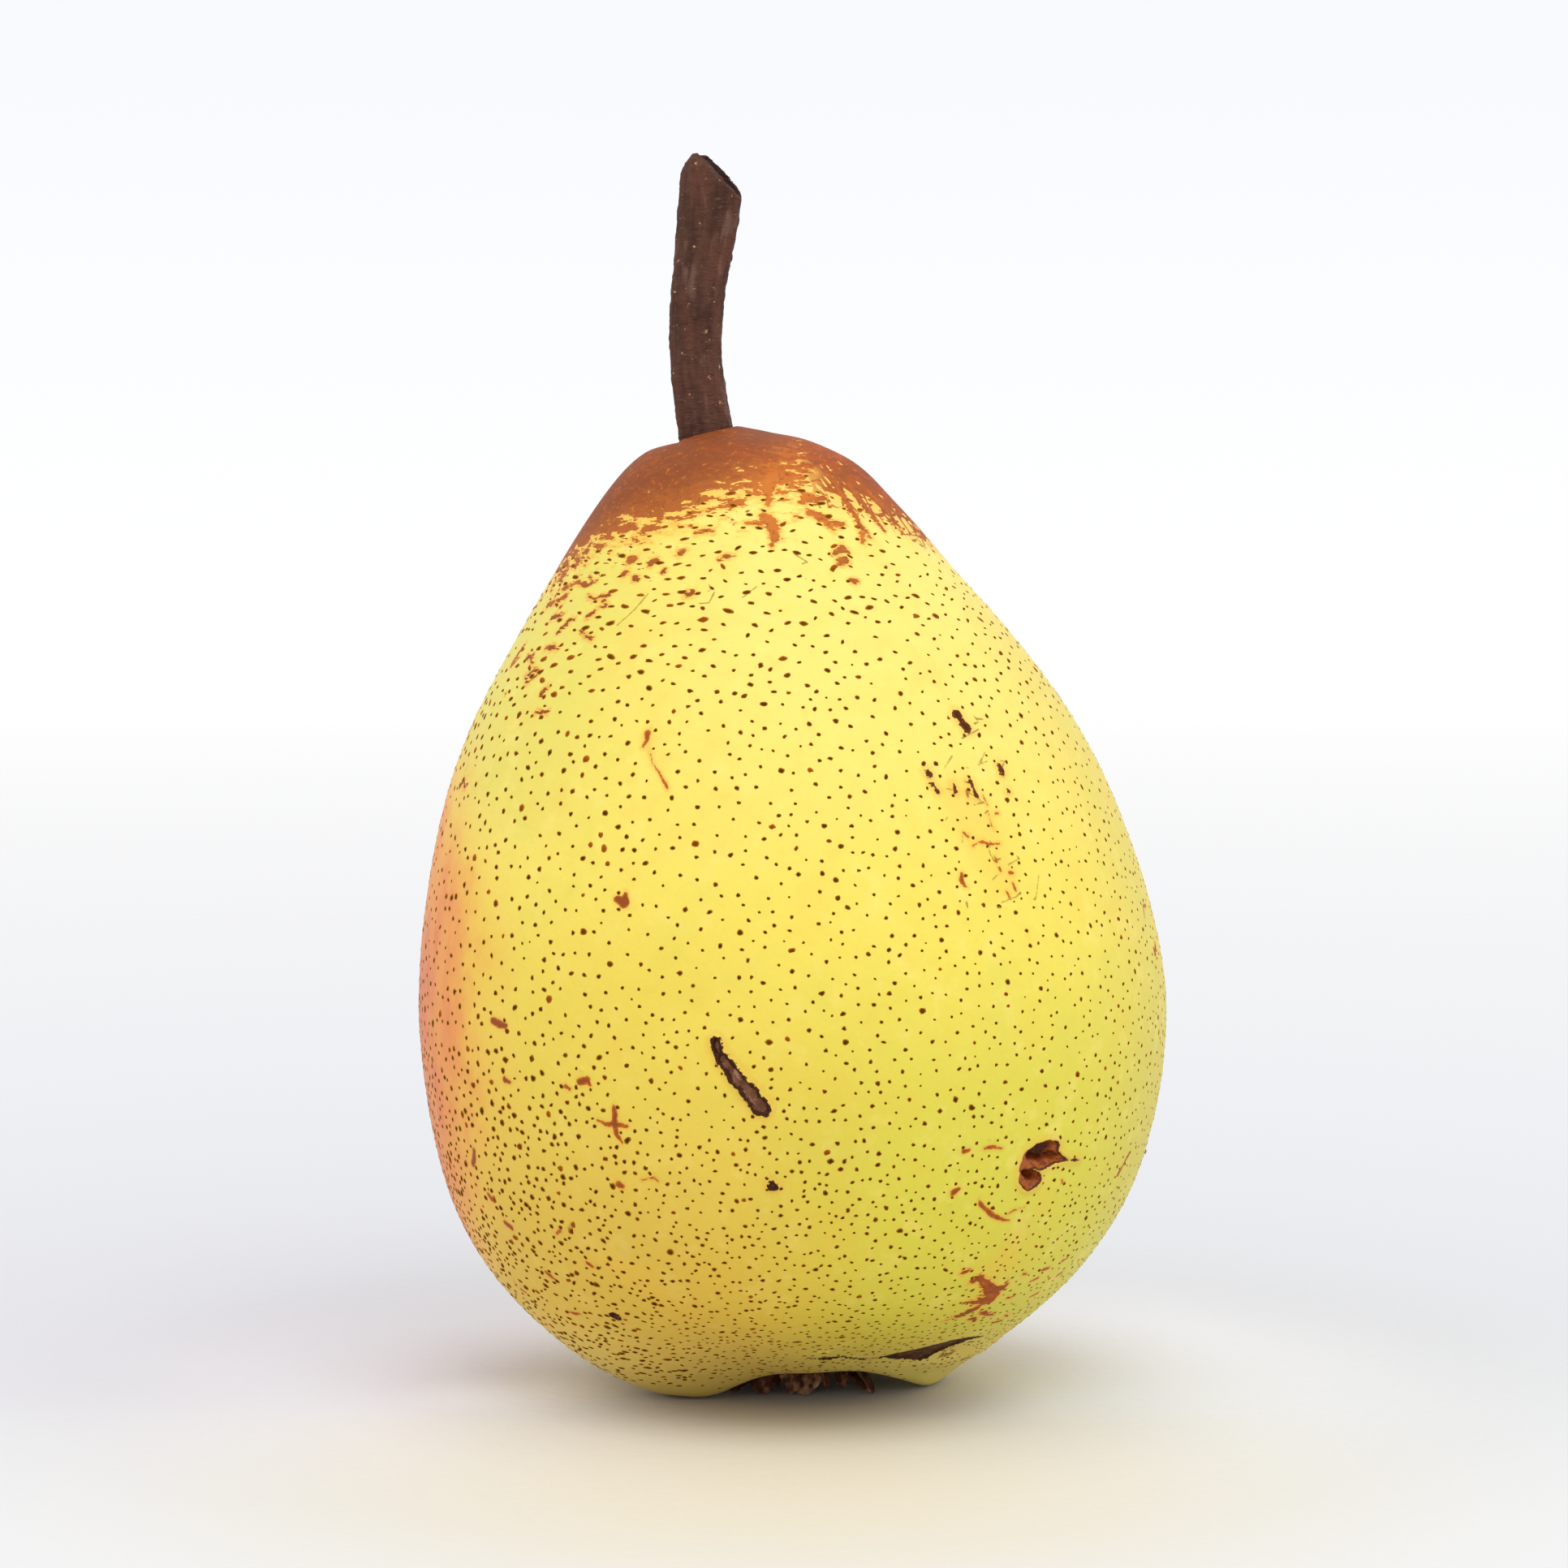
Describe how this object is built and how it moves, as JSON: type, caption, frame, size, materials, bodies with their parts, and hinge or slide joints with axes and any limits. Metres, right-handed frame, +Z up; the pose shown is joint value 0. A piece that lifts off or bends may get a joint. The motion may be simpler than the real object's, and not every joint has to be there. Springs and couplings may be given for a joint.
{
  "type": "pear",
  "caption": "Ripe yellow pear with a curved woody stalk and a dried calyx, standing on the lobes round its basin.",
  "frame": {"origin": "on the surface that the pear stands on, under the middle of its bounding box", "axes": "+Z up along the fruit towards the stalk; +X to the right and +Y away from a viewer who sees the main scar"},
  "size_m": [0.0684, 0.0666, 0.1114],
  "materials": {
    "skin": "satin waxy skin, yellow with a russet cap, a pink blush, brown pores and corky marks",
    "stalk": "dull dark brown bark with fine ridges and pale flecks",
    "calyx": "dry matte dark brown sepals with pale edges"
  },
  "bodies": {
    "root": {"fruit": "skin", "stalk": "stalk", "calyx": "calyx"}
  },
  "joints": []
}
